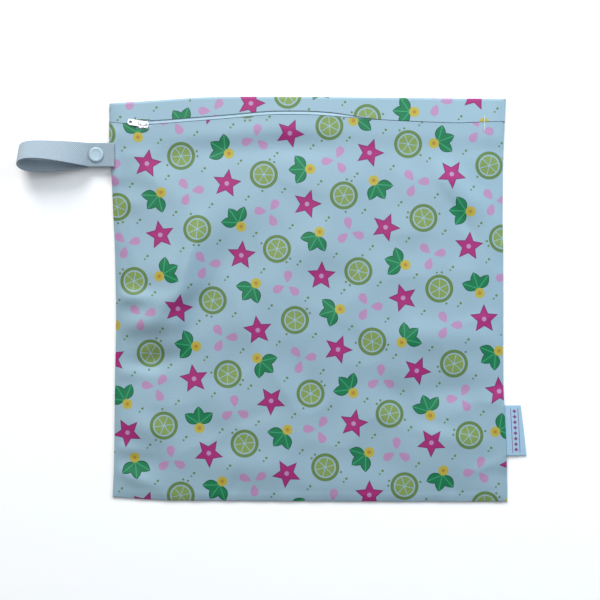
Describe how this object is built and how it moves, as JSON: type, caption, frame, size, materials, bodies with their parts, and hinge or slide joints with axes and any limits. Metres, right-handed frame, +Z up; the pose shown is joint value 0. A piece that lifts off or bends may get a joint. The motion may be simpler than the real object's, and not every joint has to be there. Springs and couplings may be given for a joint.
{
  "type": "wet bag",
  "caption": "Flat square zip-up wet bag of laminated cloth with a webbing strap closed into a loop by a snap, and a blank seam label.",
  "frame": {"origin": "on the surface the bag lies on, under the middle of the whole object's bounding box", "axes": "+Z up, out of the front; +Y towards the zip; +X towards the seam with the label, away from the strap"},
  "size_m": [0.4254, 0.3402, 0.0262],
  "materials": {
    "laminated_cloth": "smooth woven polyester with a waterproof film inside, printed",
    "zip_tape": "woven tape with a nylon coil",
    "zip_metal": "nickel plated",
    "webbing": "woven webbing",
    "snap_plastic": "satin moulded",
    "label_satin": "woven satin"
  },
  "bodies": {
    "bag": {"front_panel": "laminated_cloth", "back_panel": "laminated_cloth", "zip_tape_upper": "zip_tape", "zip_tape_lower": "zip_tape", "zip_slider": "zip_metal", "strap": "webbing", "snap_cap": "snap_plastic", "snap_socket": "snap_plastic", "snap_stud": "snap_plastic", "snap_back_cap": "snap_plastic", "side_label": "label_satin"},
    "pull": {"zip_pull": "zip_metal"}
  },
  "joints": [
    {"name": "pull_swing", "type": "hinge", "parent": "bag", "child": "pull", "pos_m": [-0.10867, 0.14637, 0.006], "axis": [0.1736, 0.9848, 0], "range_deg": [0, 170]}
  ]
}
